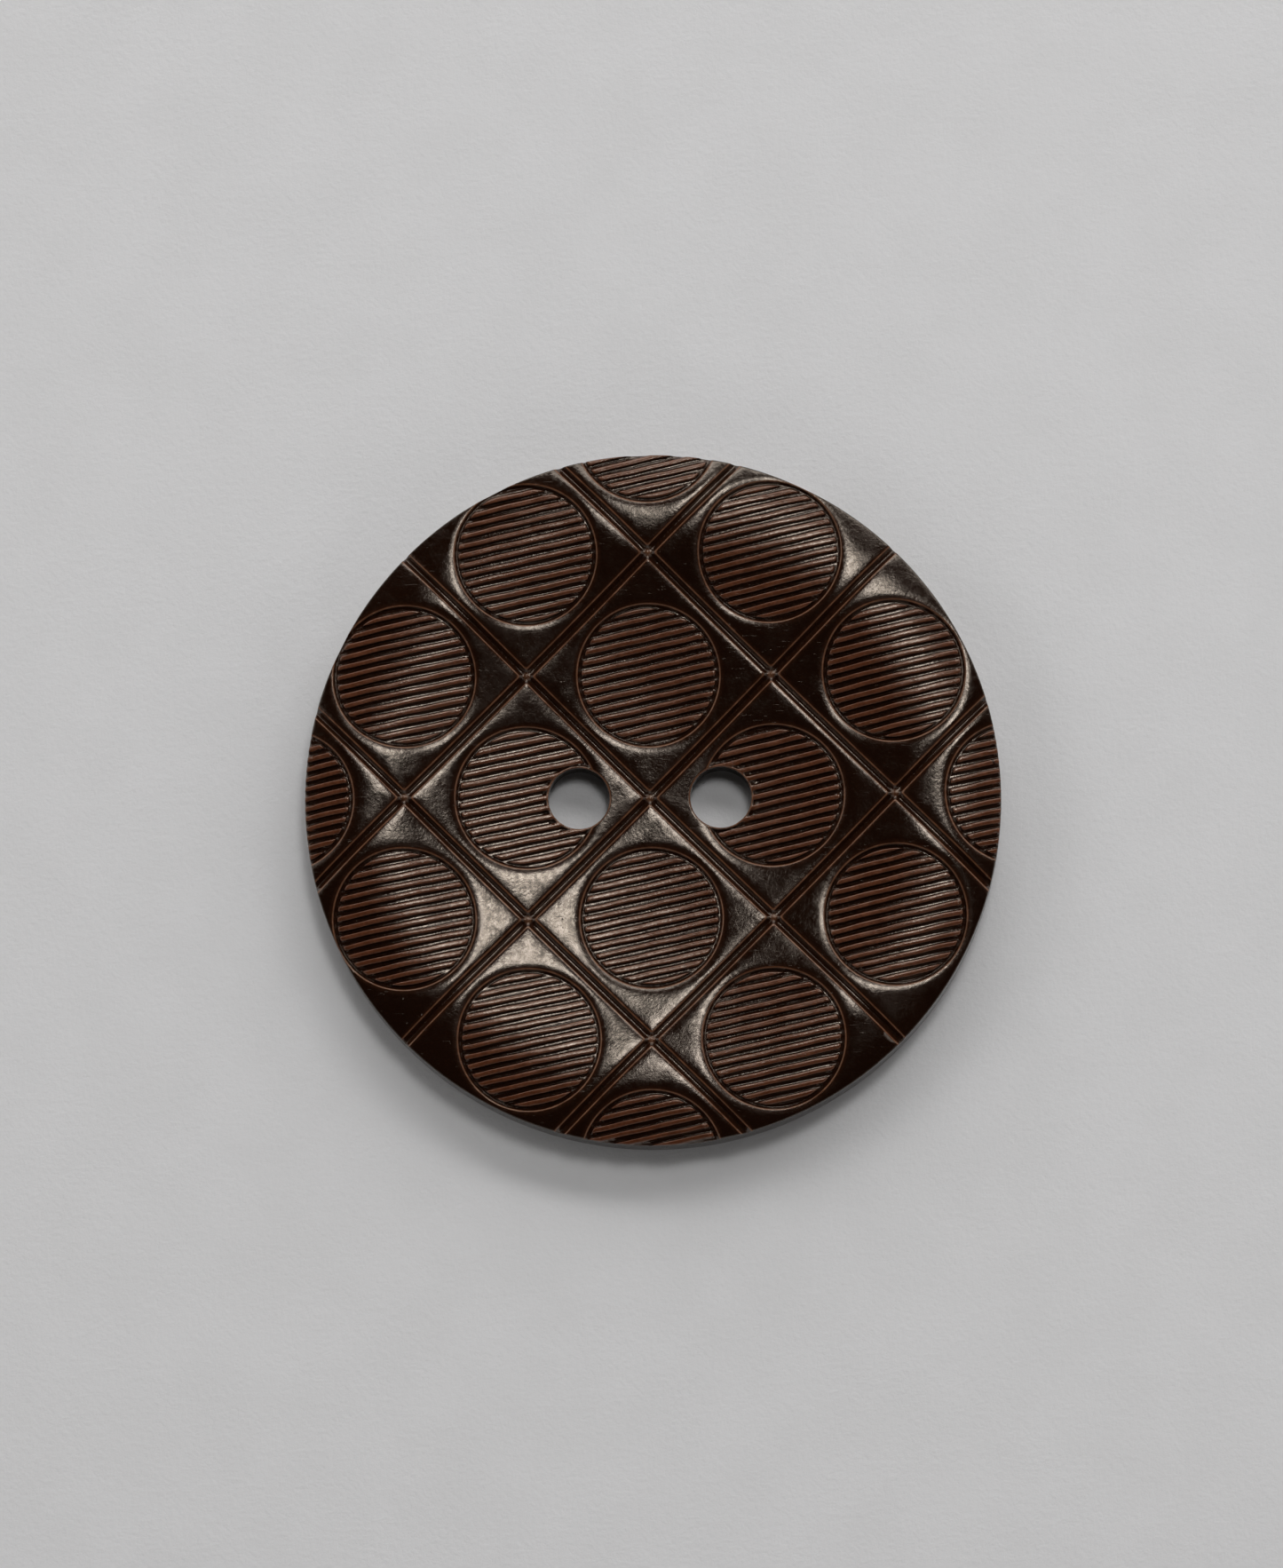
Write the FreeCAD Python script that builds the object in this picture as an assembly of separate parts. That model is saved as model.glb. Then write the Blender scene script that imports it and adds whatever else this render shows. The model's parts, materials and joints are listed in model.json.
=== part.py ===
import FreeCAD, Part
import math
import os

# Two-hole sew-on coat button, moulded in one piece.
# Millimetres, +Z up. The button lies on its flat back at Z = 0 with the patterned face up.
# +X runs along the line through the two thread holes. The round outline is centred on Z.

# ---- outline and face form ----
button_dia = 34.0
edge_height = 2.41          # height of the crisp edge between side wall and face
rim_round_radius = 10.0     # convex roll of the rim, seen in section
rim_ridge_radius = 13.95    # distance of the highest line of the face from the axis
dish_radius = 66.0          # hollow of the middle of the face, seen in section
back_edge_round = 0.20

# ---- thread holes ----
thread_hole_dia = 3.0
thread_hole_spacing = 6.94
thread_hole_edge_break = 0.10

# ---- lattice of grooves ----
lattice_side = 8.47         # side of one square between two neighbouring grooves
groove_width = 0.44         # from shoulder to shoulder
groove_shoulder_depth = 0.05
channel_width = 0.18        # narrow cut along the middle of each groove
channel_depth = 0.20
channel_stop_at_crossing = 0.22
pattern_shift_x = -0.16     # the pattern and holes sit slightly off the middle of the outline
pattern_shift_y = 0.16

# ---- ribbed discs, one in the middle of each square ----
disc_dia = 7.04
disc_step_depth = 0.05
well_dia = 6.80
well_depth = 0.26
rib_field_dia = 6.58
rib_pitch = 0.475
rib_width = 0.26
rib_count = 14
rib_angle = 12.4            # degrees that the ribs rise toward +X

# ---- derived sizes ----
button_radius = button_dia / 2.0
rim_centre_z = edge_height - math.sqrt(rim_round_radius ** 2 - (button_radius - rim_ridge_radius) ** 2)
# The dish is a sphere that runs smoothly into the rim roll.
dish_centre_z = rim_centre_z + math.sqrt((dish_radius + rim_round_radius) ** 2 - rim_ridge_radius ** 2)
top_clear = 5.0             # height that every cutter reaches above the face


def point(r, z):
    return FreeCAD.Vector(r, 0, z)


def dish_point(depth, share):
    """A point of the dish section at this depth, share 0 on the axis and 1 at the join with the rim."""
    radius = dish_radius + depth
    join_angle = math.asin(rim_ridge_radius / (dish_radius + rim_round_radius))
    angle = join_angle * share
    return point(radius * math.sin(angle), dish_centre_z - radius * math.cos(angle))


def rim_point(depth, angle):
    """A point of the rim roll at this depth, angle in radians outward from straight up."""
    radius = rim_round_radius - depth
    return point(rim_ridge_radius + radius * math.sin(angle), rim_centre_z + radius * math.cos(angle))


def turn(edges):
    """Turn a closed section about the Z axis into a solid."""
    face = Part.Face(Part.Wire(edges))
    return face.revolve(FreeCAD.Vector(0, 0, 0), FreeCAD.Vector(0, 0, 1), 360)


def button_blank():
    """The plain button before the pattern: flat back, upright side, rolled rim, dished middle."""
    join = -math.asin(rim_ridge_radius / (dish_radius + rim_round_radius))
    edge = math.asin((button_radius - rim_ridge_radius) / rim_round_radius)
    dish = Part.Arc(dish_point(0, 0), dish_point(0, 0.5), dish_point(0, 1)).toShape()
    roll = Part.Arc(rim_point(0, join), rim_point(0, (join + edge) / 2), rim_point(0, edge)).toShape()
    side = Part.makeLine(point(button_radius, edge_height), point(button_radius, 0))
    back = Part.makeLine(point(button_radius, 0), point(0, 0))
    axis = Part.makeLine(point(0, 0), dish_point(0, 0))
    blank = turn([dish, roll, side, back, axis])
    back_edges = []
    for edge_curve in blank.Edges:
        box = edge_curve.BoundBox
        if box.ZMax < 0.001 and abs(box.XMax - button_radius) < 0.001:
            back_edges.append(edge_curve)
    return blank.makeFillet(back_edge_round, back_edges)


def layer(depth):
    """Everything above a copy of the face that lies this far below it."""
    join = -math.asin(rim_ridge_radius / (dish_radius + rim_round_radius))
    past_edge = math.asin((button_radius + 0.3 - rim_ridge_radius) / (rim_round_radius - depth))
    dish = Part.Arc(dish_point(depth, 0), dish_point(depth, 0.5), dish_point(depth, 1)).toShape()
    roll_end = rim_point(depth, past_edge)
    roll = Part.Arc(rim_point(depth, join), rim_point(depth, (join + past_edge) / 2), roll_end).toShape()
    outside = Part.makeLine(roll_end, point(roll_end.x, top_clear))
    lid = Part.makeLine(point(roll_end.x, top_clear), point(0, top_clear))
    axis = Part.makeLine(point(0, top_clear), dish_point(depth, 0))
    return turn([dish, roll, outside, lid, axis])


def place_on_pattern(shape, angle, x, y):
    """Turn a shape about Z and move it to a place of the pattern."""
    shape.rotate(FreeCAD.Vector(0, 0, 0), FreeCAD.Vector(0, 0, 1), angle)
    shape.translate(FreeCAD.Vector(x + pattern_shift_x, y + pattern_shift_y, 0))
    return shape


def groove_lines():
    """Distance from the middle crossing and direction of each groove, three each way."""
    lines = []
    for direction in (45, 135):
        for step in (-1, 0, 1):
            lines.append((step * lattice_side, direction))
    return lines


def bar(width, start, end, aside, direction):
    """An upright bar lying along a groove direction, from start to end, set aside from the middle."""
    box = Part.makeBox(end - start, width, top_clear, FreeCAD.Vector(start, aside - width / 2.0, 0))
    return place_on_pattern(box, direction, 0, 0)


def groove_bars():
    """Full-length bars for the shoulders of the grooves."""
    reach = button_radius + 1.0
    return [bar(groove_width, -reach, reach, aside, direction) for aside, direction in groove_lines()]


def channel_bars():
    """Bars for the narrow channels, which stop just short of each crossing."""
    reach = button_radius + 1.0
    stops = [-reach, -lattice_side, 0, lattice_side, reach]
    bars = []
    for aside, direction in groove_lines():
        for start, end in zip(stops[:-1], stops[1:]):
            first = start + (0 if start == -reach else channel_stop_at_crossing)
            last = end - (0 if end == reach else channel_stop_at_crossing)
            bars.append(bar(channel_width, first, last, aside, direction))
    return bars


def disc_places():
    """Middle of each lattice square whose ribbed disc lies on the button at least in part."""
    places = []
    for i in (-1.5, -0.5, 0.5, 1.5):
        for j in (-1.5, -0.5, 0.5, 1.5):
            x = (i - j) * lattice_side * math.sqrt(0.5)
            y = (i + j) * lattice_side * math.sqrt(0.5)
            places.append((x, y))
    return places


def rib_outline(offset):
    """Closed outline of one rib with round ends, this far from the middle of its disc."""
    half_width = rib_width / 2.0
    far_side = abs(offset) + half_width * 0.6
    half_length = math.sqrt((rib_field_dia / 2.0) ** 2 - far_side ** 2) - half_width
    left_low = FreeCAD.Vector(-half_length, offset - half_width, 0)
    right_low = FreeCAD.Vector(half_length, offset - half_width, 0)
    right_high = FreeCAD.Vector(half_length, offset + half_width, 0)
    left_high = FreeCAD.Vector(-half_length, offset + half_width, 0)
    right_tip = FreeCAD.Vector(half_length + half_width, offset, 0)
    left_tip = FreeCAD.Vector(-half_length - half_width, offset, 0)
    low = Part.makeLine(left_low, right_low)
    right = Part.Arc(right_low, right_tip, right_high).toShape()
    high = Part.makeLine(right_high, left_high)
    left = Part.Arc(left_high, left_tip, left_low).toShape()
    return Part.Wire([low, right, high, left])


def disc_well(x, y):
    """The sunk part of one disc: a round well with the ribs left standing in it."""
    edge = Part.makeCircle(well_dia / 2.0)
    outline = Part.Face(Part.Wire([edge]))
    ribs = []
    for number in range(rib_count):
        offset = (number - (rib_count - 1) / 2.0) * rib_pitch
        ribs.append(Part.Face(rib_outline(offset)))
    sunk = outline.cut(ribs)
    well = sunk.extrude(FreeCAD.Vector(0, 0, top_clear))
    return place_on_pattern(well, rib_angle, x, y)


def disc_step(x, y):
    """The shallow step that forms the crisp outer edge of one disc."""
    return place_on_pattern(Part.makeCylinder(disc_dia / 2.0, top_clear), 0, x, y)


def thread_hole(x):
    """One thread hole with its sharp edge broken at the back, where the thread bears."""
    radius = thread_hole_dia / 2.0
    wide = radius + thread_hole_edge_break
    hole = Part.makeCylinder(radius, top_clear)
    back_break = Part.makeCone(wide, radius, thread_hole_edge_break)
    hole = hole.fuse(back_break)
    return place_on_pattern(hole, 0, x, 0)


def build_button():
    body = button_blank()
    shallow = layer(groove_shoulder_depth)
    channel = layer(channel_depth)
    deep = layer(well_depth)
    places = disc_places()
    steps = [disc_step(x, y) for x, y in places]
    wells = [disc_well(x, y) for x, y in places]
    body = body.cut([tool.common(shallow) for tool in groove_bars()])
    body = body.cut([tool.common(channel) for tool in channel_bars()])
    for step, well in zip(steps, wells):
        rim_cut = step.cut(well).common(shallow)
        body = body.cut(rim_cut)
        body = body.cut(well.common(deep))
    half_spacing = thread_hole_spacing / 2.0
    body = body.cut([thread_hole(-half_spacing), thread_hole(half_spacing)])
    return body


button = build_button()
solids = sorted(button.Solids, key=lambda solid: solid.Volume)
button = solids[-1]
print("solids", len(solids), "valid", button.isValid(), "faces", len(button.Faces))
print("volume mm3", round(button.Volume, 2), "box", button.BoundBox)

os.makedirs("parts", exist_ok=True)
button.exportStep("parts/button_disc.step")
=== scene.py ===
import json
import math

import bpy
import numpy as np
from mathutils import Matrix, Vector
from mathutils.geometry import delaunay_2d_cdt


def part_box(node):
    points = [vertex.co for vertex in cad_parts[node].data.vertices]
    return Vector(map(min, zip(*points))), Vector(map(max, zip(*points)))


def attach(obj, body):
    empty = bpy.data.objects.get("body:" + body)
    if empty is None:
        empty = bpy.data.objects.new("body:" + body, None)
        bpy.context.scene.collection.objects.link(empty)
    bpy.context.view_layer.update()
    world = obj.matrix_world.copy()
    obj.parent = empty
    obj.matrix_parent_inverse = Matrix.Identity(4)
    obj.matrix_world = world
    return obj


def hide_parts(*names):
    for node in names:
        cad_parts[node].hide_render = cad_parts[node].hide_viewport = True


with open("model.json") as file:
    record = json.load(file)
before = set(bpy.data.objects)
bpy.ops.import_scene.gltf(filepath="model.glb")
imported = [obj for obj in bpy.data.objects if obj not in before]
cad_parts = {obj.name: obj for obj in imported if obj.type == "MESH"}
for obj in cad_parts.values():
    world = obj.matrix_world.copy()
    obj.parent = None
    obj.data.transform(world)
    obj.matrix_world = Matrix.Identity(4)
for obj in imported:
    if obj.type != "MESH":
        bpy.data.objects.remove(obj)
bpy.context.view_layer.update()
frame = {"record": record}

# One moulded two-hole coat button. The CAD node gives its place, size and thread holes, and the piece made
# here stands for it with the finer form of the real surface: steep grooves with a small rounded floor, worn
# shoulders, rounded ribs, and the slight unevenness of a polished face.
# Lengths in this file are millimetres until a mesh, light or camera is made.

MM = 0.001
NODE = "button_disc"
SEED = 54                   # of the unevenness of the face
ROWS_OF_SQUARES = (-1.5, -0.5, 0.5, 1.5)
ROOT_HALF = math.sqrt(0.5)

# ---- places taken from the frame ----
box_low, box_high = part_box(NODE)
OUTLINE_RADIUS = (box_high[0] - box_low[0]) / 2 / MM
RIDGE_HEIGHT = box_high[2] / MM
HOLES = [mount for mount in frame["record"]["mounts"] if mount["kind"] == "bore"]
HOLE_CENTRES = [(mount["pos_m"][0] / MM, mount["pos_m"][1] / MM) for mount in HOLES]
HOLE_RADIUS = HOLES[0]["dims"]["r_mm"]
PATTERN_X = sum(x for x, y in HOLE_CENTRES) / len(HOLE_CENTRES)
PATTERN_Y = sum(y for x, y in HOLE_CENTRES) / len(HOLE_CENTRES)

# ---- form of the face, as in the CAD ----
DISH_RADIUS = 66.0
ROLL_RADIUS = 10.0
RIDGE_RADIUS = 13.95
ROLL_CENTRE_Z = RIDGE_HEIGHT - ROLL_RADIUS
DISH_CENTRE_Z = ROLL_CENTRE_Z + math.sqrt((DISH_RADIUS + ROLL_RADIUS) ** 2 - RIDGE_RADIUS ** 2)
JOIN_RADIUS = RIDGE_RADIUS * DISH_RADIUS / (DISH_RADIUS + ROLL_RADIUS)
FACE_EDGE_ROUND = 0.06
BACK_EDGE_ROUND = 0.20
HOLE_EDGE_ROUND = 0.09

# ---- lattice of grooves ----
LATTICE_SIDE = 8.47
GROOVE_EDGE = 0.225         # half of the width between the two edge lines
GROOVE_DEPTH = 0.25
GROOVE_FLOOR = 0.055        # half width of the rounded floor between the steep walls
GROOVE_BELLY = 0.015        # how far the middle of the floor lies below its sides
GROOVE_SHOULDER = 0.46      # where the polished shoulder starts to fall toward the groove
GROOVE_SHOULDER_DROP = 0.034
CROSSING_LIFT = 0.60        # share of the depth that is missing in the middle of a crossing
CROSSING_REACH = 0.22
CROSSING_ROUND = 0.12

# ---- ribbed discs ----
DISC_EDGE = 3.49
DISC_SHOULDER = 3.88
DISC_SHOULDER_DROP = 0.055
WELL_DEPTH = 0.25
WELL_WALL = 0.17            # width of the sloping wall round the well
RIB_FIELD = 3.31
RIB_PITCH = 0.475
RIB_FOOT = 0.158            # half width where a rib meets the channel floor
RIB_EDGE_WIDTH = 0.058      # from the foot to the edge of the rounded top
RIB_TOP = -0.030
RIB_CROWN = 0.009
RIB_SHOULDER = 0.016        # drop of the small rounding along each side of the top
RIB_SHOULDER_WIDTH = 0.055
CHANNEL_BELLY = 0.012       # how far the rounded channel floor sinks below the rib feet
RIB_END_ROUND = 0.07
RIB_ANGLE = 12.4            # degrees
RIB_PHASE_SPREAD = 0.11     # how much the ribs of one disc may be shifted across
DISC_PLACE_ERROR = 0.035    # how far a disc may lie from the middle of its square
SHALLOWEST_NEAR_HOLE = -0.07    # the pattern is no deeper than this right beside a thread hole
COARSE_WAVE_HEIGHT = 0.006  # unevenness of the polished face
FINE_WAVE_HEIGHT = 0.0018


def smooth_step(low, high, value):
    share = np.clip((value - low) / (high - low), 0.0, 1.0)
    return share * share * (3.0 - 2.0 * share)


def smooth_min(a, b, reach):
    mix = np.clip(0.5 + 0.5 * (b - a) / reach, 0.0, 1.0)
    return b * (1 - mix) + a * mix - reach * mix * (1 - mix)


def waves(x, y, length, seed):
    """Gentle seeded unevenness of about unit height with waves of about this length."""
    draw = np.random.default_rng(seed)
    total = np.zeros_like(x)
    for _ in range(7):
        heading = draw.uniform(0, 2 * math.pi)
        number = 2 * math.pi / (length * draw.uniform(0.7, 1.5))
        phase = draw.uniform(0, 2 * math.pi)
        total += np.sin(number * (x * math.cos(heading) + y * math.sin(heading)) + phase)
    return total / math.sqrt(7)


def face_height(radius):
    """Height of the plain face: a shallow dish that runs into a rounded rim."""
    dish = DISH_CENTRE_Z - np.sqrt(DISH_RADIUS ** 2 - np.minimum(radius, JOIN_RADIUS) ** 2)
    out = np.clip(radius - RIDGE_RADIUS, -ROLL_RADIUS * 0.9, ROLL_RADIUS * 0.9)
    roll = ROLL_CENTRE_Z + np.sqrt(ROLL_RADIUS ** 2 - out ** 2)
    return np.where(radius < JOIN_RADIUS, dish, roll)


def disc_index(along):
    """Which row of lattice squares this lies in, as -1.5, -0.5, 0.5 or 1.5."""
    return np.clip(np.floor(along / LATTICE_SIDE) + 0.5, -1.5, 1.5)


def disc_centre(i, j):
    """Middle of a lattice square in the pattern's own axes, with its small error of place."""
    draw_x = np.sin(12.9 * i + 78.2 * j + 0.7)
    draw_y = np.sin(37.7 * i + 11.1 * j + 2.1)
    x = (i + j) * LATTICE_SIDE * ROOT_HALF + DISC_PLACE_ERROR * draw_x
    y = (i - j) * LATTICE_SIDE * ROOT_HALF + DISC_PLACE_ERROR * draw_y
    return x, y


def disc_turn(x, y):
    """Angle of the ribs in the disc whose middle is here: the pattern is very slightly twisted."""
    return np.radians(RIB_ANGLE + 0.045 * x + 0.03 * y)


def rib_phase(i, j):
    """How far the ribs of one disc are shifted across, in millimetres."""
    return RIB_PHASE_SPREAD * np.sin(5.3 * i + 3.1 * j + 0.4)


def rib_wander(along, number, disc_id):
    """How far this rib strays sideways here, in millimetres."""
    slow = 0.012 * np.sin(along * 1.3 + number * 2.4 + disc_id)
    return slow + 0.008 * np.sin(along * 3.1 + number * 5.7)


def groove_distance(x, y):
    """Distance to the nearest groove of each family, in the pattern's own axes."""
    across_a = (x + y) * ROOT_HALF
    across_b = (x - y) * ROOT_HALF
    nearest_a = np.clip(np.round(across_a / LATTICE_SIDE), -1, 1) * LATTICE_SIDE
    nearest_b = np.clip(np.round(across_b / LATTICE_SIDE), -1, 1) * LATTICE_SIDE
    return np.abs(across_a - nearest_a), np.abs(across_b - nearest_b)


def hole_distance(x, y):
    """Distance outside the wall of the nearer thread hole."""
    return np.min([np.hypot(x - hx, y - hy) for hx, hy in HOLE_CENTRES], axis=0) - HOLE_RADIUS


def disc_coordinates(x, y):
    """Distance from the middle of the square's disc, and the place along and across its ribs."""
    i = disc_index((x + y) * ROOT_HALF)
    j = disc_index((x - y) * ROOT_HALF)
    centre_x, centre_y = disc_centre(i, j)
    turn = disc_turn(centre_x, centre_y)
    dx = x - centre_x
    dy = y - centre_y
    along = dx * np.cos(turn) + dy * np.sin(turn)
    across = dy * np.cos(turn) - dx * np.sin(turn) - rib_phase(i, j)
    return np.hypot(dx, dy), along, across, i * 7 + j


def surface(x, y):
    """Height of the patterned face here, and the distances that the material paints by."""
    px = x - PATTERN_X
    py = y - PATTERN_Y
    radius = np.hypot(x, y)
    near_a, near_b = groove_distance(px, py)
    groove = smooth_min(near_a, near_b, CROSSING_ROUND)
    crossing = np.hypot(near_a, near_b)
    lift = 1.0 - CROSSING_LIFT * np.exp(-((crossing / CROSSING_REACH) ** 2))
    belly = GROOVE_BELLY * (1.0 - (np.minimum(groove, GROOVE_FLOOR) / GROOVE_FLOOR) ** 2)
    sunk = np.clip((GROOVE_EDGE - groove) / (GROOVE_EDGE - GROOVE_FLOOR), 0.0, 1.0)
    channel = -lift * ((GROOVE_DEPTH - GROOVE_BELLY) * sunk + belly)
    shoulder = np.clip((GROOVE_SHOULDER - groove) / (GROOVE_SHOULDER - GROOVE_EDGE), 0.0, 1.0)
    groove_z = channel - GROOVE_SHOULDER_DROP * shoulder ** 2

    disc_r, along, across, disc_id = disc_coordinates(px, py)
    fall = np.clip((DISC_SHOULDER - disc_r) / (DISC_SHOULDER - DISC_EDGE), 0.0, 1.0)
    wall = np.clip((DISC_EDGE - disc_r) / WELL_WALL, 0.0, 1.0)
    bowl = -DISC_SHOULDER_DROP * fall ** 2
    well_drop = WELL_DEPTH + CHANNEL_BELLY + 0.01 - DISC_SHOULDER_DROP
    bowl = bowl - well_drop * np.sin(0.5 * math.pi * wall) ** 1.1
    number = np.round(across / RIB_PITCH - 0.5)
    wander = rib_wander(along, number, disc_id)
    offset = np.abs(across - (number + 0.5) * RIB_PITCH - wander)
    foot = RIB_FOOT * (1.0 + 0.05 * np.sin(number * 7.7 + disc_id * 3.3))
    rib = smooth_min(foot - offset, RIB_FIELD - disc_r, RIB_END_ROUND)
    rise = smooth_step(0.0, RIB_EDGE_WIDTH, rib)
    crown = np.clip((foot - rib) / foot, 0.0, 1.0) ** 2
    uneven = 0.006 * np.sin(along * 2.3 + number * 4.1 + disc_id * 1.7)
    rounding = np.clip((RIB_EDGE_WIDTH + RIB_SHOULDER_WIDTH - rib) / RIB_SHOULDER_WIDTH, 0.0, 1.0)
    top = RIB_TOP - RIB_CROWN * crown - RIB_SHOULDER * rounding ** 2 + uneven
    midway = np.clip(-rib / (0.5 * RIB_PITCH - RIB_FOOT), 0.0, 1.0)
    floor = -WELL_DEPTH - CHANNEL_BELLY * (1.0 - (1.0 - midway) ** 2)
    rib_z = floor + (top - floor) * rise
    well_z = np.where(disc_r < DISC_EDGE, np.maximum(bowl, rib_z), bowl)

    hole = hole_distance(x, y)
    open_up = smooth_step(0.06, 0.22, hole)
    pattern = groove_z + well_z
    shallow = np.maximum(pattern, SHALLOWEST_NEAR_HOLE)
    near_hole = shallow + (pattern - shallow) * open_up
    height = face_height(radius) + near_hole
    height = height + COARSE_WAVE_HEIGHT * waves(x, y, 5.0, SEED)
    height = height + FINE_WAVE_HEIGHT * waves(x, y, 1.6, SEED + 1)
    over_edge = np.clip(radius - (OUTLINE_RADIUS - FACE_EDGE_ROUND), 0.0, FACE_EDGE_ROUND)
    height = height - (FACE_EDGE_ROUND - np.sqrt(FACE_EDGE_ROUND ** 2 - over_edge ** 2))
    over_hole = np.clip(HOLE_EDGE_ROUND - hole, 0.0, HOLE_EDGE_ROUND)
    height = height - (HOLE_EDGE_ROUND - np.sqrt(HOLE_EDGE_ROUND ** 2 - over_hole ** 2))
    distances = {"groove": groove, "crossing": crossing, "disc": disc_r, "rib": rib, "hole": hole}
    return {"height": height, **distances}


class Plan:
    """Points and lines of the face in plan, from which its triangles are made."""

    def __init__(self):
        self.points = []
        self.edges = []

    def row(self, x, y, keep, closed=False):
        """Add a line of points, joined where both neighbours are kept."""
        places = {}
        for index in np.flatnonzero(keep):
            places[int(index)] = len(self.points)
            self.points.append(Vector((float(x[index]), float(y[index]))))
        count = len(x)
        for index in places:
            following = (index + 1) % count if closed else index + 1
            if following in places:
                self.edges.append((places[index], places[following]))


# ---- how the face is divided into points ----
RIM_BAND = 0.13             # ring inside the outline that has its own rows of points
HOLE_BAND = 0.20            # ring round each thread hole that has its own rows of points
GROOVE_OFFSETS = [0.03, 0.055, 0.10, 0.16, 0.215, 0.24, 0.29, 0.39]
RIB_OFFSETS = [0.0, 0.05, 0.08, 0.10, 0.128, 0.158, 0.195, RIB_PITCH / 2]
RIB_ROWS_RADIUS = 3.02      # the rows along the ribs end here and the rings begin
RINGS = [(3.06, 200), (3.12, 216), (3.17, 232), (3.21, 240), (3.245, 240), (3.28, 240), (3.31, 200)]
RINGS += [(3.34, 140), (3.37, 120), (3.40, 120), (3.43, 120), (3.46, 120), (3.49, 120), (3.53, 120)]
RINGS += [(3.60, 100), (3.68, 90), (3.79, 80)]     # radius and number of points of each ring round a disc
RIM_INSETS = (0.10, 0.06, 0.045, 0.028, 0.012, 0.003, 0.0)
HOLE_OUTSETS = (0.0, 0.004, 0.015, 0.035, 0.06, 0.09, 0.13, 0.17)
HOLE_RING = 120             # points round a thread hole
SIDE_RING = 256             # points round the lower side wall
FILL_FROM_GROOVE = 0.57     # the widely spaced points keep this far from a groove's middle line
FILL_FROM_DISC = 3.98       # and this far from the middle of a disc


def on_face(x, y):
    """Inside the outline and clear of the thread holes, with room for their own rings of points."""
    inside = np.hypot(x, y) < OUTLINE_RADIUS - RIM_BAND
    return inside & (hole_distance(x, y) > HOLE_BAND)


def groove_rows(plan):
    """Lines of points along every groove, closer together near the crossings."""
    offsets = [-value for value in reversed(GROOVE_OFFSETS)] + [0.0] + GROOVE_OFFSETS
    reach = OUTLINE_RADIUS + 1.0
    stops = list(offsets)
    for step in (-1, 1):
        stops += [step * LATTICE_SIDE + value for value in offsets]
    spacing = 0.36
    for middle in ROWS_OF_SQUARES:
        half = LATTICE_SIDE / 2 - GROOVE_OFFSETS[-1] - spacing / 2
        stops += list(middle * LATTICE_SIDE + np.arange(-half, half + 0.01, spacing))
    stops = np.array(sorted(value for value in stops if abs(value) < reach))
    for step in (-1, 0, 1):
        for offset in offsets:
            across = np.full_like(stops, step * LATTICE_SIDE + offset)
            for first, second in ((across, stops), (stops, across)):
                x = (first + second) * ROOT_HALF + PATTERN_X
                y = (first - second) * ROOT_HALF + PATTERN_Y
                plan.row(x, y, on_face(x, y))


def circle(radius, count, turn=0.0):
    angle = np.arange(count) * 2 * math.pi / count + turn
    return radius * np.cos(angle), radius * np.sin(angle)


def disc_rows(plan, i, j):
    """Rings round one disc and lines along its ribs."""
    centre_x, centre_y = disc_centre(i, j)
    turn = disc_turn(centre_x, centre_y)
    for number, (radius, count) in enumerate(RINGS):
        x, y = circle(radius, count, number * 0.01)
        x = x + centre_x + PATTERN_X
        y = y + centre_y + PATTERN_Y
        plan.row(x, y, on_face(x, y), closed=True)
    offsets = [-value for value in reversed(RIB_OFFSETS[1:-1])] + RIB_OFFSETS
    spacing = 0.38
    for number in range(-8, 8):
        for offset in offsets:
            across = (number + 0.5) * RIB_PITCH + offset + float(rib_phase(i, j))
            if abs(across) >= RIB_ROWS_RADIUS - 0.02:
                continue
            half = math.sqrt(RIB_ROWS_RADIUS ** 2 - across ** 2)
            steps = max(1, round(2 * half / spacing))
            along = np.linspace(-half, half, steps + 1)
            wander = rib_wander(along, number, i * 7 + j)
            line = across + (wander if abs(offset) < 0.2 else 0.0)
            x = along * math.cos(turn) - line * math.sin(turn) + centre_x + PATTERN_X
            y = along * math.sin(turn) + line * math.cos(turn) + centre_y + PATTERN_Y
            plan.row(x, y, on_face(x, y))


def smooth_fill(plan):
    """Widely spaced points for the smooth parts between grooves and discs."""
    spacing = 0.42
    count = int(OUTLINE_RADIUS / spacing) + 2
    column, row = np.meshgrid(np.arange(-count, count + 1), np.arange(-count, count + 1))
    x = (column + 0.5 * (row % 2)).ravel() * spacing
    y = row.ravel() * spacing * math.sqrt(0.75)
    near_a, near_b = groove_distance(x - PATTERN_X, y - PATTERN_Y)
    disc_r = disc_coordinates(x - PATTERN_X, y - PATTERN_Y)[0]
    clear = (np.minimum(near_a, near_b) > FILL_FROM_GROOVE) & (disc_r > FILL_FROM_DISC)
    clear &= np.hypot(x, y) < OUTLINE_RADIUS - RIM_BAND - 0.2
    clear &= hole_distance(x, y) > HOLE_BAND + 0.2
    for px, py in zip(x[clear], y[clear]):
        plan.points.append(Vector((float(px), float(py))))


def rim_angles():
    """Angles of the points round the outline, close together where the pattern meets it."""
    angles = np.arange(0, 2 * math.pi, math.radians(0.15))
    x = OUTLINE_RADIUS * np.cos(angles) - PATTERN_X
    y = OUTLINE_RADIUS * np.sin(angles) - PATTERN_Y
    near_a, near_b = groove_distance(x, y)
    disc_r = disc_coordinates(x, y)[0]
    fine = (np.minimum(near_a, near_b) < 0.45) | (disc_r < 3.62)
    return angles[fine | (np.arange(len(angles)) % 6 == 0)]


def rim_rows(plan):
    angles = rim_angles()
    for inset in RIM_INSETS:
        x = (OUTLINE_RADIUS - inset) * np.cos(angles)
        y = (OUTLINE_RADIUS - inset) * np.sin(angles)
        plan.row(x, y, np.ones(len(x), bool), closed=True)


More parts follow.
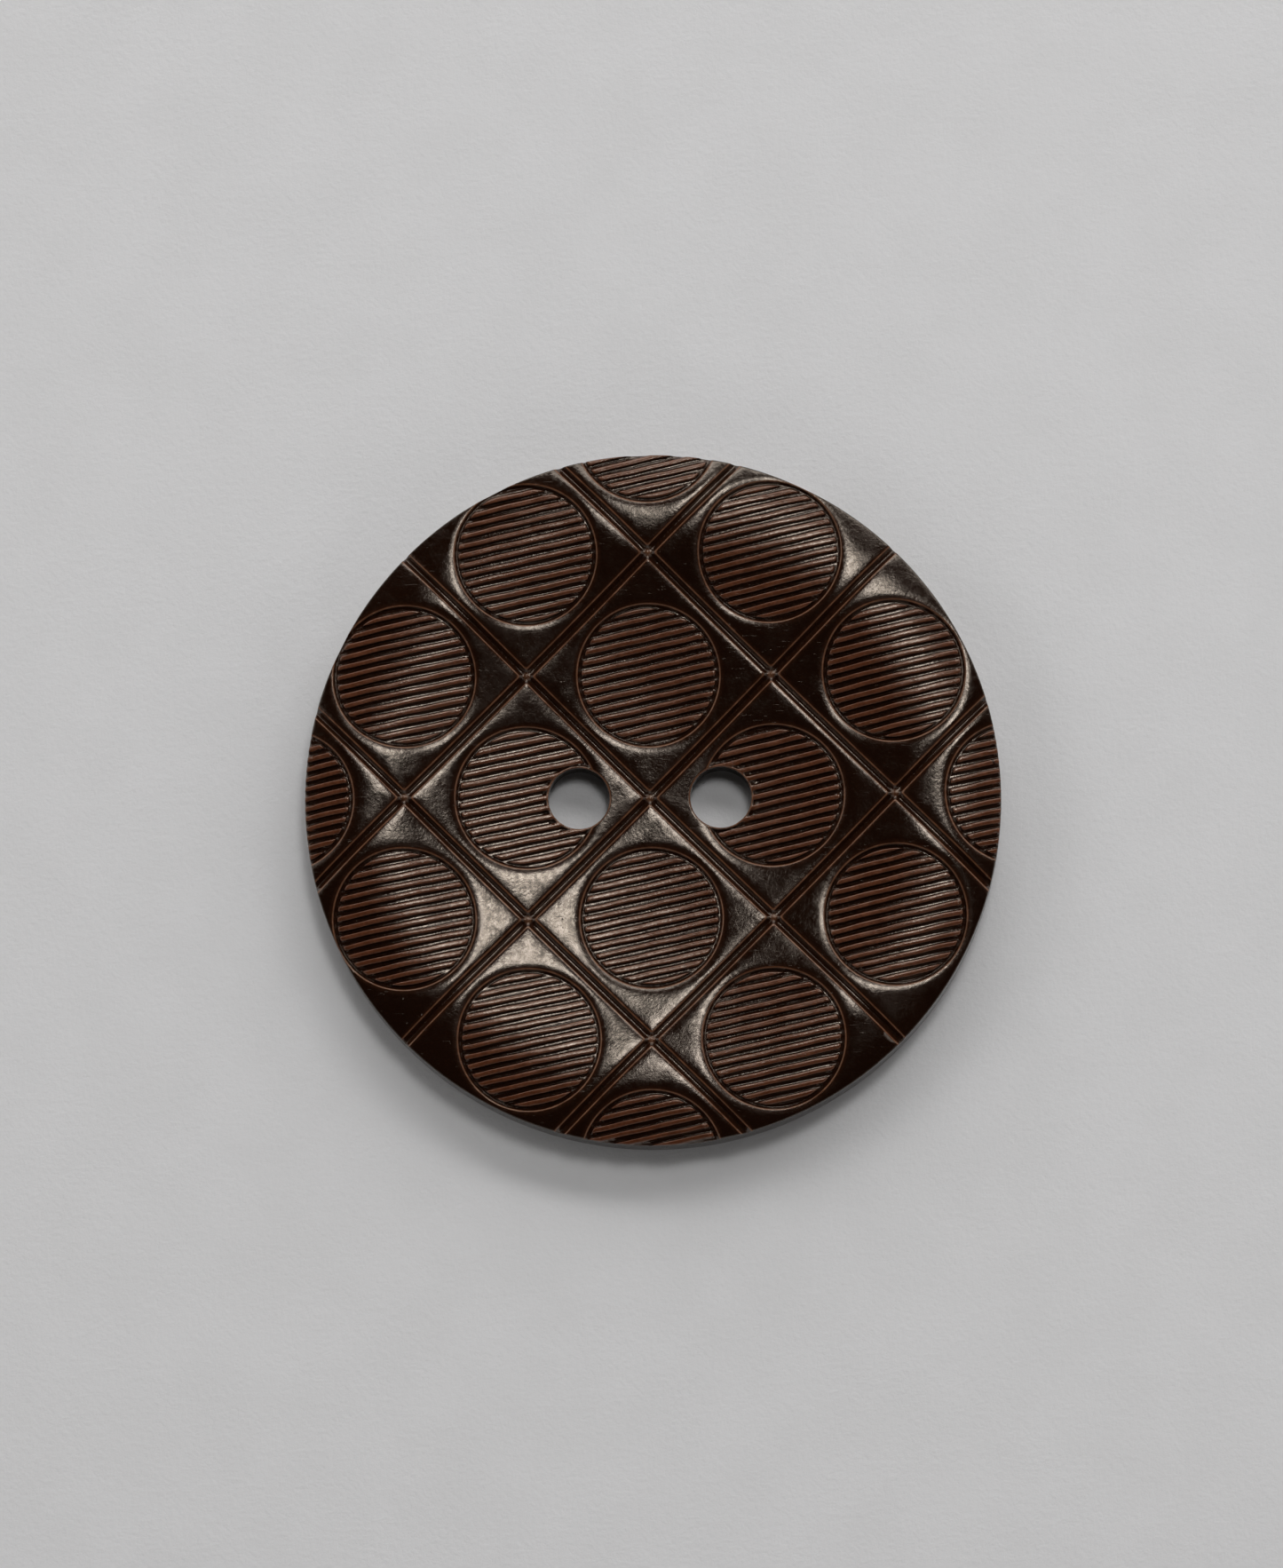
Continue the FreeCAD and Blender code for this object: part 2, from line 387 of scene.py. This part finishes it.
def hole_rows(plan):
    for centre_x, centre_y in HOLE_CENTRES:
        for outset in HOLE_OUTSETS:
            x, y = circle(HOLE_RADIUS + outset, HOLE_RING)
            plan.row(x + centre_x, y + centre_y, np.ones(HOLE_RING, bool), closed=True)


def triangulate(plan):
    """Triangles between the points, keeping every line, without those that span a thread hole."""
    result = delaunay_2d_cdt(plan.points, plan.edges, [], 0, 1e-6, False)
    points = np.array([tuple(point) for point in result[0]])
    triangles = np.array([tuple(face) for face in result[2]])
    middle = points[triangles].mean(axis=1)
    solid = hole_distance(middle[:, 0], middle[:, 1]) > -1e-4 * HOLE_RADIUS
    corner = points[triangles]
    side_a = corner[:, 1] - corner[:, 0]
    side_b = corner[:, 2] - corner[:, 0]
    area = side_a[:, 0] * side_b[:, 1] - side_a[:, 1] * side_b[:, 0]
    triangles = np.where((area < 0)[:, None], triangles[:, ::-1], triangles)
    return points, triangles[solid & (np.abs(area) > 1e-9)]


def ring_of(points, centre, radius):
    """Indices of the points on this circle, in order of angle."""
    dx = points[:, 0] - centre[0]
    dy = points[:, 1] - centre[1]
    found = np.flatnonzero(np.abs(np.hypot(dx, dy) - radius) < 1e-4)
    angle = np.arctan2(dy[found], dx[found]) % (2 * math.pi)
    return found[np.argsort(angle)]


class Skin:
    """Vertices and triangles of the whole button, grown piece by piece."""

    def __init__(self, places, triangles):
        self.places = [places]
        self.count = len(places)
        self.faces = [triangles]

    def add(self, places):
        first = self.count
        self.places.append(np.asarray(places, float))
        self.count += len(places)
        return np.arange(first, self.count)

    def angles(self, ring, centre):
        places = np.concatenate(self.places)[ring]
        return np.arctan2(places[:, 1] - centre[1], places[:, 0] - centre[0]) % (2 * math.pi)

    def bridge(self, upper, lower, centre, outward):
        """Join two rings that go round the same way, whatever their numbers of points."""
        upper_angle = self.angles(upper, centre)
        lower_angle = self.angles(lower, centre)
        upper = upper[np.argsort(upper_angle)]
        lower = lower[np.argsort(lower_angle)]
        upper_angle = np.append(np.sort(upper_angle), np.sort(upper_angle)[0] + 2 * math.pi)
        lower_angle = np.append(np.sort(lower_angle), np.sort(lower_angle)[0] + 2 * math.pi)
        faces = []
        i = 0
        j = 0
        while i < len(upper) or j < len(lower):
            a = upper[i % len(upper)]
            b = lower[j % len(lower)]
            step_upper = i < len(upper) and (j >= len(lower) or upper_angle[i + 1] <= lower_angle[j + 1])
            if step_upper:
                faces.append((a, b, upper[(i + 1) % len(upper)]))
                i += 1
            else:
                faces.append((a, b, lower[(j + 1) % len(lower)]))
                j += 1
        faces = np.array(faces)
        self.faces.append(faces if outward else faces[:, ::-1])


def round_off(edge_radius, steps):
    """Inward and upward travel of a quarter-round edge, from the upright wall to the flat."""
    angle = np.linspace(0, math.pi / 2, steps + 1)[1:]
    return [(edge_radius * (1 - math.cos(a)), edge_radius * math.sin(a)) for a in angle]


def side_wall(skin, points):
    """The upright side and the rounded edge to the back, down to the back's outline."""
    upper = ring_of(points, (0, 0), OUTLINE_RADIUS)
    lowest = np.concatenate(skin.places)[upper][:, 2].min()
    angle = np.arctan2(points[upper, 1], points[upper, 0])
    coarse = np.arange(SIDE_RING) * 2 * math.pi / SIDE_RING
    levels = [(0.004, lowest - 0.12, angle), (0.012, lowest - 0.45, coarse), (0.0, 1.2, coarse)]
    levels += [(-0.01, 0.6, coarse), (0.0, BACK_EDGE_ROUND, coarse)]
    for inward, drop in round_off(BACK_EDGE_ROUND, 5):
        levels.append((inward, BACK_EDGE_ROUND - drop, coarse))
    for inset, height, turn in levels:
        radius = OUTLINE_RADIUS - inset
        ring = skin.add(np.stack([radius * np.cos(turn), radius * np.sin(turn), turn * 0 + height], 1))
        skin.bridge(upper, ring, (0, 0), True)
        upper = ring
    return upper


def hole_wall(skin, points, centre):
    """The wall of one thread hole and its rounded edge at the back."""
    upper = ring_of(points, centre, HOLE_RADIUS)
    turn = np.arange(HOLE_RING) * 2 * math.pi / HOLE_RING
    levels = [(0.0, 1.05), (0.0, 0.6), (0.0, HOLE_EDGE_ROUND)]
    for outward, drop in round_off(HOLE_EDGE_ROUND, 4):
        levels.append((outward, HOLE_EDGE_ROUND - drop))
    for outset, height in levels:
        radius = HOLE_RADIUS + outset
        x = centre[0] + radius * np.cos(turn)
        y = centre[1] + radius * np.sin(turn)
        ring = skin.add(np.stack([x, y, turn * 0 + height], 1))
        skin.bridge(upper, ring, centre, False)
        upper = ring
    return upper


def back_face(skin, outer, holes):
    """The flat back between its outline and the two thread holes."""
    places = np.concatenate(skin.places)
    plan = Plan()
    owners = []
    for ring in [outer] + holes:
        plan.row(places[ring, 0], places[ring, 1], np.ones(len(ring), bool), closed=True)
        owners += list(ring)
    spacing = 1.3
    for column in range(-14, 15):
        for row in range(-14, 15):
            x = (column + 0.5 * (row % 2)) * spacing
            y = row * spacing * math.sqrt(0.75)
            if math.hypot(x, y) < OUTLINE_RADIUS - 0.9 and hole_distance(x, y) > 0.5:
                plan.points.append(Vector((x, y)))
    inner = plan.points[len(owners):]
    owners += list(skin.add([(point.x, point.y, 0.0) for point in inner]))
    result = delaunay_2d_cdt(plan.points, plan.edges, [], 0, 1e-6, True)
    origin = [ids[0] for ids in result[3]]
    corner = np.array([tuple(point) for point in result[0]])
    faces = []
    for face in result[2]:
        a, b, c = (corner[index] for index in face)
        middle = (a + b + c) / 3
        if hole_distance(middle[0], middle[1]) < HOLE_EDGE_ROUND - 1e-3:
            continue
        indices = [owners[origin[index]] for index in face]
        turns_left = (b[0] - a[0]) * (c[1] - a[1]) - (b[1] - a[1]) * (c[0] - a[0]) > 0
        faces.append(indices[::-1] if turns_left else indices)
    skin.faces.append(np.array(faces))


def face_normals(x, y):
    """Upright surface direction of the patterned face, from its formula."""
    step = 0.012
    slope_x = (surface(x + step, y)["height"] - surface(x - step, y)["height"]) / (2 * step)
    slope_y = (surface(x, y + step)["height"] - surface(x, y - step)["height"]) / (2 * step)
    normals = np.stack([-slope_x, -slope_y, np.ones_like(x)], axis=1)
    return normals / np.linalg.norm(normals, axis=1)[:, None]


def corner_normals(places, faces):
    """Vertex directions averaged from the triangles, weighted by their corner angles."""
    corners = places[faces]
    flat = np.cross(corners[:, 1] - corners[:, 0], corners[:, 2] - corners[:, 0])
    flat = flat / np.maximum(np.linalg.norm(flat, axis=1), 1e-12)[:, None]
    total = np.zeros_like(places)
    for place in range(3):
        one = corners[:, (place + 1) % 3] - corners[:, place]
        two = corners[:, (place + 2) % 3] - corners[:, place]
        lengths = np.linalg.norm(one, axis=1) * np.linalg.norm(two, axis=1)
        angle = np.arccos(np.clip((one * two).sum(axis=1) / np.maximum(lengths, 1e-12), -1, 1))
        np.add.at(total, faces[:, place], flat * angle[:, None])
    return total / np.maximum(np.linalg.norm(total, axis=1), 1e-12)[:, None]


def make_button():
    plan = Plan()
    groove_rows(plan)
    for i in ROWS_OF_SQUARES:
        for j in ROWS_OF_SQUARES:
            disc_rows(plan, i, j)
    rim_rows(plan)
    hole_rows(plan)
    smooth_fill(plan)
    points, triangles = triangulate(plan)
    face = surface(points[:, 0], points[:, 1])
    skin = Skin(np.column_stack([points, face["height"]]), triangles)
    outer = side_wall(skin, points)
    holes = [hole_wall(skin, points, centre) for centre in HOLE_CENTRES]
    back_face(skin, outer, holes)
    places = np.concatenate(skin.places)
    faces = np.concatenate(skin.faces)

    normals = corner_normals(places, faces)
    radius = np.hypot(points[:, 0], points[:, 1])
    steady = (radius < OUTLINE_RADIUS - FACE_EDGE_ROUND - 0.02) & (face["hole"] > HOLE_EDGE_ROUND + 0.02)
    normals[:len(points)][steady] = face_normals(points[steady, 0], points[steady, 1])

    mesh = bpy.data.meshes.new("button_moulded")
    mesh.vertices.add(len(places))
    mesh.vertices.foreach_set("co", (places * MM).ravel())
    mesh.loops.add(len(faces) * 3)
    mesh.loops.foreach_set("vertex_index", faces.ravel().astype(np.int32))
    mesh.polygons.add(len(faces))
    mesh.polygons.foreach_set("loop_start", np.arange(0, len(faces) * 3, 3, dtype=np.int32))
    mesh.update(calc_edges=True)
    mesh.validate()
    mesh.shade_smooth()
    mesh.normals_split_custom_set_from_vertices(normals)
    for name in ("groove", "crossing", "disc", "rib", "hole"):
        values = np.full(len(places), 9.0 if name != "rib" else -9.0)
        values[:len(points)] = face[name]
        layer = mesh.attributes.new(name + "_mm", "FLOAT", "POINT")
        layer.data.foreach_set("value", values.astype(np.float32))
    button = bpy.data.objects.new("button_moulded", mesh)
    bpy.context.scene.collection.objects.link(button)
    print("button vertices", len(places), "triangles", len(faces))
    return button


# ---- materials ----

class Nodes:
    """Short calls for building the node tree of one material, or of the world."""

    def __init__(self, owner):
        owner.use_nodes = True
        self.tree = owner.node_tree
        self.tree.nodes.clear()

    def add(self, kind, inputs=None, **settings):
        node = self.tree.nodes.new(kind)
        for name, value in settings.items():
            setattr(node, name, value)
        for name, value in (inputs or {}).items():
            self.feed(node.inputs[name], value)
        return node

    def feed(self, socket, value):
        if isinstance(value, bpy.types.NodeSocket):
            self.tree.links.new(value, socket)
        else:
            socket.default_value = value

    def math(self, operation, first, second=0.0, third=0.0, clamp=False):
        inputs = {0: first, 1: second, 2: third}
        return self.add("ShaderNodeMath", inputs, operation=operation, use_clamp=clamp).outputs[0]

    def attribute(self, name):
        return self.add("ShaderNodeAttribute", attribute_name=name, attribute_type="GEOMETRY").outputs["Fac"]

    def ramp(self, value, low, high, start=0.0, end=1.0):
        inputs = {"Value": value, "From Min": low, "From Max": high, "To Min": start, "To Max": end}
        return self.add("ShaderNodeMapRange", inputs, interpolation_type="SMOOTHSTEP").outputs[0]

    def band(self, value, middle, half_width):
        """1 on the line where value is middle, falling to 0 at half_width to each side."""
        away = self.math("ABSOLUTE", self.math("SUBTRACT", value, middle))
        return self.ramp(away, half_width, 0.0)

    def noise(self, vector, scale, detail=4.0, roughness=0.55, distortion=0.0):
        inputs = {"Vector": vector, "Scale": scale, "Detail": detail, "Roughness": roughness,
                  "Distortion": distortion}
        return self.add("ShaderNodeTexNoise", inputs).outputs[0]

    def mix(self, share, first, second):
        node = self.add("ShaderNodeMix", data_type="RGBA", blend_type="MIX")
        self.feed(node.inputs[0], share)
        self.feed(node.inputs[6], first)
        self.feed(node.inputs[7], second)
        return node.outputs[2]


POLISHED = (0.0072, 0.0024, 0.0010, 1)
POLISHED_LIGHTER = (0.0105, 0.0038, 0.0017, 1)
BROWN = (0.083, 0.0255, 0.0105, 1)
BROWN_LIGHTER = (0.112, 0.0365, 0.0160, 1)
WARM_EDGE = (0.135, 0.055, 0.026, 1)
WARM_SHINE = (1.0, 0.86, 0.725, 1)
LINE_MIDDLE = 0.012         # how far outside an edge its lighter line runs
PIT_DEPTH = 0.020
SCRATCH_DEPTH = 0.0030


def plastic_material():
    """Dark brown moulded plastic: polished where high and smooth, lighter and duller on the pattern."""
    material = bpy.data.materials.new("button_plastic")
    n = Nodes(material)
    coordinates = n.add("ShaderNodeTexCoord").outputs["Object"]
    place = n.add("ShaderNodeVectorMath", {0: coordinates, "Scale": 1000.0}, operation="SCALE").outputs[0]
    groove = n.attribute("groove_mm")
    crossing = n.attribute("crossing_mm")
    disc = n.attribute("disc_mm")
    rib = n.attribute("rib_mm")
    hole = n.attribute("hole_mm")

    broad = n.noise(place, 0.35, 3.0)
    patch = n.noise(place, 1.6, 4.0)
    fine = n.noise(place, 7.0, 5.0, 0.6)
    grain = n.noise(place, 22.0, 3.0, 0.6)

    rib_top = n.ramp(rib, 0.015, 0.060)
    groove_line = n.band(groove, GROOVE_EDGE + LINE_MIDDLE, 0.065)
    disc_line = n.band(disc, DISC_EDGE + LINE_MIDDLE, 0.070)
    hole_line = n.band(hole, 0.035, 0.075)
    lines = n.math("MAXIMUM", n.math("MAXIMUM", groove_line, disc_line), hole_line)
    fringe = n.math("MAXIMUM", n.ramp(groove, 0.46, 0.24), n.ramp(disc, 3.78, 3.50))
    fringe = n.math("MULTIPLY", fringe, n.ramp(fine, 0.30, 0.70, 0.25, 1.0))
    lines = n.math("MAXIMUM", lines, n.ramp(crossing, 0.26, 0.08, 0.0, 0.75))
    lines = n.math("MULTIPLY", lines, n.ramp(patch, 0.25, 0.70, 0.40, 1.0))
    specks = n.ramp(n.noise(place, 13.0, 4.0, 0.65), 0.54, 0.74, 0.0, 0.12)
    rib_share = n.math("MULTIPLY", rib_top, n.ramp(fine, 0.25, 0.75, 0.55, 1.0))

    colour = n.mix(n.ramp(broad, 0.3, 0.7, 0.0, 0.45), POLISHED, POLISHED_LIGHTER)
    colour = n.mix(n.math("MULTIPLY", fringe, 0.20), colour, BROWN)
    colour = n.mix(specks, colour, BROWN)
    rib_brown = n.mix(n.ramp(patch, 0.3, 0.7), BROWN, BROWN_LIGHTER)
    colour = n.mix(rib_share, colour, rib_brown)
    colour = n.mix(lines, colour, WARM_EDGE)

    gloss = n.ramp(patch, 0.3, 0.7, 0.09, 0.17)
    gloss = n.math("ADD", gloss, n.ramp(fine, 0.35, 0.75, 0.0, 0.06))
    rough = n.math("ADD", gloss, n.math("MULTIPLY", rib_top, 0.03))
    rough = n.math("ADD", rough, n.math("MULTIPLY", lines, 0.12), clamp=True)

    pit_cells = n.add("ShaderNodeTexVoronoi", {"Vector": place, "Scale": 1.5}, feature="F1")
    pits = n.ramp(pit_cells.outputs["Distance"], 0.075, 0.03)
    pits = n.math("MULTIPLY", pits, n.ramp(n.noise(place, 0.8, 2.0), 0.52, 0.60))
    streaks = {"Vector": place, "Rotation": (0, 0, 0.9), "Scale": (0.5, 9.0, 1.0)}
    stretched = n.add("ShaderNodeMapping", streaks).outputs[0]
    scratches = n.ramp(n.noise(stretched, 2.0, 2.0), 0.68, 0.76)
    height = n.math("MULTIPLY", fine, 0.0085)
    height = n.math("ADD", height, n.math("MULTIPLY", patch, 0.0060))
    height = n.math("ADD", height, n.math("MULTIPLY", grain, 0.0018))
    height = n.math("SUBTRACT", height, n.math("MULTIPLY", pits, PIT_DEPTH))
    height = n.math("SUBTRACT", height, n.math("MULTIPLY", scratches, SCRATCH_DEPTH))
    bump = n.add("ShaderNodeBump", {"Height": height, "Strength": 1.0, "Distance": 0.001})

    look = {"Base Color": colour, "Roughness": rough, "IOR": 1.55, "Normal": bump.outputs[0]}
    shader = n.add("ShaderNodeBsdfPrincipled", look)
    shader.inputs["Specular Tint"].default_value = WARM_SHINE
    sheen_noise = n.noise(place, 3.6, 6.0, 0.68)
    n.feed(shader.inputs["Specular IOR Level"], n.ramp(sheen_noise, 0.36, 0.60, 0.36, 0.62))
    output = n.add("ShaderNodeOutputMaterial")
    n.feed(output.inputs["Surface"], shader.outputs[0])
    return material


PAPER = (0.703, 0.699, 0.701, 1)
PAPER_LIGHTER = (0.721, 0.717, 0.720, 1)
PAPER_TOOTH = 0.032


def paper_material():
    """Pale grey matt paper with a faint tooth."""
    material = bpy.data.materials.new("pale_paper")
    n = Nodes(material)
    coordinates = n.add("ShaderNodeTexCoord").outputs["Object"]
    place = n.add("ShaderNodeVectorMath", {0: coordinates, "Scale": 1000.0}, operation="SCALE").outputs[0]
    fibre = n.noise(place, 3.0, 6.0, 0.65)
    cloud = n.noise(place, 0.25, 3.0)
    colour = n.mix(n.ramp(cloud, 0.3, 0.7), PAPER, PAPER_LIGHTER)
    height = n.math("MULTIPLY", fibre, PAPER_TOOTH)
    bump = n.add("ShaderNodeBump", {"Height": height, "Strength": 1.0, "Distance": 0.001})
    look = {"Base Color": colour, "Roughness": 0.9, "Normal": bump.outputs[0]}
    shader = n.add("ShaderNodeBsdfPrincipled", look)
    shader.inputs["Specular IOR Level"].default_value = 0.2
    output = n.add("ShaderNodeOutputMaterial")
    n.feed(output.inputs["Surface"], shader.outputs[0])
    return material


# ---- floor, light and camera ----

FLOOR_HALF = 1.5            # metres
LIGHT_DISTANCE = 0.6        # metres
ROOM_WALL_TOP = 0.42        # sine of the elevation where the lit walls start to fade
ROOM_CEILING = 0.66         # sine of the elevation where only the dark ceiling is left
ROOM_NEAR_WALL = 0.60       # brightness of the wall on the viewer's side
ROOM_FAR_WALL = 1.45
ROOM_CEILING_LIGHT = 0.006


def make_floor():
    half = FLOOR_HALF
    mesh = bpy.data.meshes.new("floor")
    corners = [(-half, -half, 0), (half, -half, 0), (half, half, 0), (-half, half, 0)]
    mesh.from_pydata(corners, [], [(0, 1, 2, 3)])
    floor = bpy.data.objects.new("floor", mesh)
    bpy.context.scene.collection.objects.link(floor)
    mesh.materials.append(paper_material())


def soft_light(name, azimuth, elevation, width, length, radiance):
    """A rectangular soft light that faces the button. Azimuth is measured from +X toward +Y.

    Its length runs up and down as seen from the button, and radiance is how bright it looks from there."""
    data = bpy.data.lights.new(name, "AREA")
    data.shape = "RECTANGLE"
    data.size = width * LIGHT_DISTANCE
    data.size_y = length * LIGHT_DISTANCE
    data.energy = radiance * math.pi * data.size * data.size_y
    light = bpy.data.objects.new(name, data)
    a = math.radians(azimuth)
    e = math.radians(elevation)
    away = Vector((math.cos(a) * math.cos(e), math.sin(a) * math.cos(e), math.sin(e)))
    across = Vector((-math.sin(a), math.cos(a), 0))
    matrix = Matrix((across, away.cross(across), away)).transposed().to_4x4()
    matrix.translation = away * LIGHT_DISTANCE
    light.matrix_world = matrix
    bpy.context.scene.collection.objects.link(light)


def make_world():
    """A dim room: nearly dark overhead, brighter low down where the walls catch the studio light."""
    world = bpy.data.worlds.new("studio")
    n = Nodes(world)
    direction = n.add("ShaderNodeTexCoord").outputs["Generated"]
    parts = n.add("ShaderNodeSeparateXYZ", {0: direction}).outputs
    wall = n.ramp(parts["Y"], -0.3, 0.9, ROOM_NEAR_WALL, ROOM_FAR_WALL)
    low_down = n.ramp(parts["Z"], ROOM_WALL_TOP, ROOM_CEILING, 1.0, 0.0)
    strength = n.math("MULTIPLY_ADD", wall, low_down, ROOM_CEILING_LIGHT)
    background = n.add("ShaderNodeBackground", {"Color": (1.0, 0.99, 0.985, 1), "Strength": strength})
    output = n.add("ShaderNodeOutputWorld")
    n.feed(output.inputs["Surface"], background.outputs[0])
    bpy.context.scene.world = world


def make_lights():
    """Widths and lengths are shares of the distance to the light."""
    soft_light("key_core", 67, 71, 0.12, 0.14, 16.5)
    soft_light("key_softbox", 69.5, 70.7, 0.25, 0.28, 5.7)
    soft_light("key_halo", 67, 70.5, 0.38, 0.40, 0.6)
    soft_light("top_softbox", 76, 41, 1.25, 0.20, 5.3)
    soft_light("left_card", 160, 33, 0.45, 0.36, 1.1)
    soft_light("right_card", -22, 73.5, 0.10, 0.08, 0.75)
    make_world()


VIEW_TILT = 7.58            # degrees from straight above
VIEW_AZIMUTH = 7.2          # degrees from -Y toward +X
VIEW_TURN = 0.61            # degrees that the hole line is turned in the view
VIEW_DISTANCE = 600.0
FRAME_WIDTH = 62.64         # width of the view at the button's edge height
BUTTON_RIGHT = 0.557        # how far the button lies right of and below the middle of the view
BUTTON_BELOW = 0.726


def make_camera():
    tilt = math.radians(VIEW_TILT)
    azimuth = math.radians(VIEW_AZIMUTH)
    turn = math.radians(VIEW_TURN)
    aside = math.sin(tilt)
    toward = Vector((math.sin(azimuth) * aside, -math.cos(azimuth) * aside, math.cos(tilt)))
    right = Vector((math.cos(turn), -math.sin(turn), 0))
    right = (right - toward * right.dot(toward)).normalized()
    up = toward.cross(right)
    edge_height = float(face_height(np.array(OUTLINE_RADIUS)))
    aim = Vector((0, 0, edge_height)) - right * BUTTON_RIGHT + up * BUTTON_BELOW
    data = bpy.data.cameras.new("camera")
    data.sensor_fit = "HORIZONTAL"
    data.sensor_width = 36.0
    data.lens = data.sensor_width * VIEW_DISTANCE / FRAME_WIDTH
    data.clip_start = 0.01
    data.clip_end = 10.0
    camera = bpy.data.objects.new("camera", data)
    place = (aim + toward * VIEW_DISTANCE) * MM
    matrix = Matrix((right, up, toward)).transposed().to_4x4()
    matrix.translation = place
    camera.matrix_world = matrix
    bpy.context.scene.collection.objects.link(camera)
    bpy.context.scene.camera = camera


make_camera()
button = make_button()
button.data.materials.append(plastic_material())
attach(button, "root")
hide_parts(NODE)
make_floor()
make_lights()
bpy.context.scene.view_settings.view_transform = "Standard"
